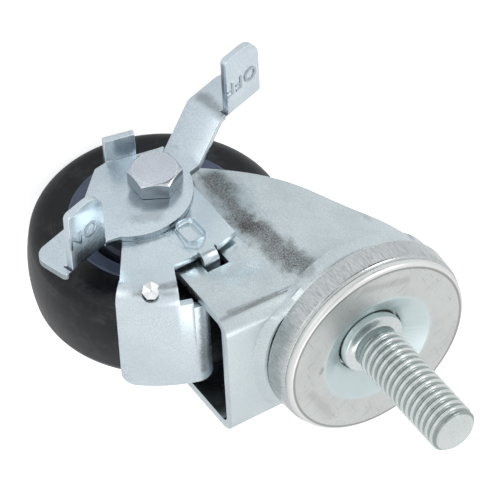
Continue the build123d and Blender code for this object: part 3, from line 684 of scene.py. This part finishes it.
stem_line = [
    (0, stem_low.z),
    (6.5 * MM, stem_low.z),
    (8.5 * MM, stem_low.z + 1.4 * MM),
    (8.5 * MM, stem_low.z + 2.4 * MM),
    (shank_r, stem_low.z + 2.4 * MM),
    (shank_r, shank_top),
    (collar_r, shank_top),
    (collar_r, collar_top - 0.7 * MM),
    (collar_r - 0.25 * MM, collar_top - 0.2 * MM),
    (collar_r - 0.9 * MM, collar_top),
    (neck_r + 0.9 * MM, collar_top + 0.05 * MM),
    (neck_r + 0.2 * MM, collar_top + 0.5 * MM),
    (neck_r, thread_start - 0.3 * MM),
]
ring_count = round((thread_end - thread_start) / pitch * rings_per_pitch)
for number in range(ring_count + 1):
    stem_line.append((crest_r, thread_start + (thread_end - thread_start) * number / ring_count))
end_dent = [(4.7 * MM, thread_end), (4.4 * MM, thread_end - 0.12 * MM), (0, thread_end - 0.2 * MM)]
stem_points = [(radius, 0, height) for radius, height in stem_line + end_dent]
stem = turned_piece("threaded_stem_turned", stem_points)

# %% Roll the thread into the rings
for vertex in stem.data.vertices:
    radius = vertex.co.xy.length
    if radius < crest_r - 0.01 * MM or vertex.co.z < thread_start - 0.01 * MM:
        continue
    winding = (vertex.co.z - thread_start) / pitch - atan2(vertex.co.y, vertex.co.x) / (2 * pi)
    flank = min(1, max(0, cos(2 * pi * winding) * 0.68 + 0.5))
    rolled = root_r + (crest_r - root_r) * flank
    rolled = min(rolled, crest_r - max(0, vertex.co.z - (thread_end - chamfer)))
    rolled = min(rolled, neck_r + (vertex.co.z - thread_start) * 0.55)
    vertex.co.x *= rolled / radius
    vertex.co.y *= rolled / radius
stem.data.materials.append(finishes["thread"])
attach(stem, "stem")
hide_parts("threaded_stem")
print("stem", len(stem.data.polygons), "faces")

# %% [markdown]
# Two marks are pressed into the brake shoe. A shallow pad with rounded corners stands out of its
# plate, below the lever, and a small dart is struck across its outer bend, to stiffen it. The pad
# is a cube set down in the plane of the plate, with its corners and then its rim rounded. The
# dart is a cone with few sides, so that its facets flash.

# %% Pad on the shoe's plate
shoe_face = -23.3 * MM


def pressed_piece(name, body, finish, sharp):
    """Finish the active object as a piece of that body, with its place in its mesh."""
    piece = bpy.context.object
    piece.name = name
    bpy.ops.object.transform_apply(location=True, rotation=True, scale=True)
    bpy.ops.object.shade_smooth_by_angle(angle=radians(sharp))
    piece.data.materials.clear()
    piece.data.materials.append(finish)
    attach(piece, body)
    return piece


pad_middle = (28.3 * MM, shoe_face, -39.2 * MM)
deselect()
bpy.ops.mesh.primitive_cube_add(size=1, location=pad_middle, rotation=(0, radians(-3), 0))
bpy.context.object.scale = (5.4 * MM, 0.8 * MM, 8.0 * MM)
pad = pressed_piece("shoe_pad", "shoe", finishes["shoe"], 30)
bpy.ops.object.mode_set(mode="EDIT")
bpy.ops.mesh.select_all(action="DESELECT")
bpy.ops.object.mode_set(mode="OBJECT")
for edge in pad.data.edges:
    first, second = (pad.data.vertices[number].co for number in edge.vertices)
    edge.select = abs(first.y - second.y) > 0.5 * MM
bpy.ops.object.mode_set(mode="EDIT")
bpy.ops.mesh.select_mode(type="EDGE")
bpy.ops.mesh.bevel(offset=2.0 * MM, segments=6)
bpy.ops.object.mode_set(mode="OBJECT")
# The pad's rounded rim takes the light edge finish: a painted highlight.
pad.data.materials.append(finishes["edge"])
rim = pad.modifiers.new("rim", "BEVEL")
rim.width = 0.2 * MM
rim.segments = 3
rim.limit_method = "ANGLE"
rim.angle_limit = radians(40)
rim.material = 1
bpy.ops.object.modifier_apply(modifier=rim.name)
bpy.ops.object.shade_smooth_by_angle(angle=radians(35))
print("pad", len(pad.data.polygons), "faces")

# %% Dart across the shoe's outer bend
dart_middle = Vector((46.0, -22.2, -29.0)) * MM
dart_out = Vector((0.27, -0.66, 0.70)).normalized()
deselect()
bpy.ops.mesh.primitive_cone_add(
    vertices=7,
    radius1=2.3 * MM,
    radius2=0.35 * MM,
    depth=0.7 * MM,
    location=dart_middle,
    rotation=dart_out.to_track_quat("Z", "X").to_euler(),
)
# The dart's very light finish is a painted highlight on its facets.
dart = pressed_piece("shoe_dart", "shoe", finishes["dart"], 5)
print("dart", len(dart.data.polygons), "faces")

# %% [markdown]
# The treads are marked ON and OFF so that a foot presses the right one. The words are pressed
# into the sheet from below, so they stand up a little with soft edges. Each is a text object made
# a mesh, thin and bevelled, and laid on its tread before its place is applied.

# %% Words on the treads
tilt = radians(16.7)
along = Vector((cos(tilt), 0, sin(tilt)))
upward = Vector((-sin(tilt), 0, cos(tilt)))
inward = Vector((0, 1, 0))
tread_top = 4.85 * MM


def tread_word(name, word, along_lever, side, height):
    """A raised word on a tread. Its place is along the lever and out along the axle."""
    deselect()
    bpy.ops.object.text_add()
    text = bpy.context.object
    text.name = name
    text.data.body = word
    text.data.align_x, text.data.align_y = "CENTER", "CENTER"
    text.data.size = height
    text.data.extrude = 0.14 * MM
    text.data.bevel_depth = 0.09 * MM
    text.data.bevel_resolution = 1
    text.data.resolution_u = 6
    text.data.space_character = 1.15
    place = axle + along * along_lever + upward * tread_top
    place.y = side
    turn = Matrix((along, inward, upward)).transposed().to_4x4()
    text.matrix_world = Matrix.Translation(place) @ turn
    bpy.ops.object.convert(target="MESH")
    bpy.ops.object.transform_apply(location=True, rotation=True, scale=True)
    piece = bpy.context.object
    bpy.ops.object.mode_set(mode="EDIT")
    bpy.ops.mesh.select_all(action="SELECT")
    bpy.ops.mesh.remove_doubles(threshold=0.005 * MM)
    bpy.ops.mesh.normals_make_consistent(inside=False)
    bpy.ops.object.mode_set(mode="OBJECT")
    bpy.ops.object.shade_smooth_by_angle(angle=radians(60))
    piece.data.materials.clear()
    # The darker word finish is painted shade for the outlines of the pressed letters.
    piece.data.materials.append(finishes["word"])
    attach(piece, "lever")
    return piece


tread_word("word_on", "ON", 31.0 * MM, -34.0 * MM, 5.9 * MM)
tread_word("word_off", "OFF", -27.8 * MM, -41.6 * MM, 5.7 * MM)

# %% [markdown]
# The other CAD nodes have the right shape already, so they stay and only take a finish.

# %% Finishes of the CAD nodes that stay
for node, finish in (
    ("lower_race", "hidden"),
    ("upper_balls", "ball"),
    ("lower_balls", "ball"),
    ("nut_insert", "insert"),
    ("axle_sleeve", "hidden"),
    ("brake_spacer", "hidden"),
    ("brake_cam", "hidden"),
    ("tyre", "rubber"),
    ("wheel_hub", "hub"),
    ("near_bush", "bush"),
    ("far_bush", "bush"),
):
    nodes[node].data.materials.clear()
    nodes[node].data.materials.append(finishes[finish])
deselect()
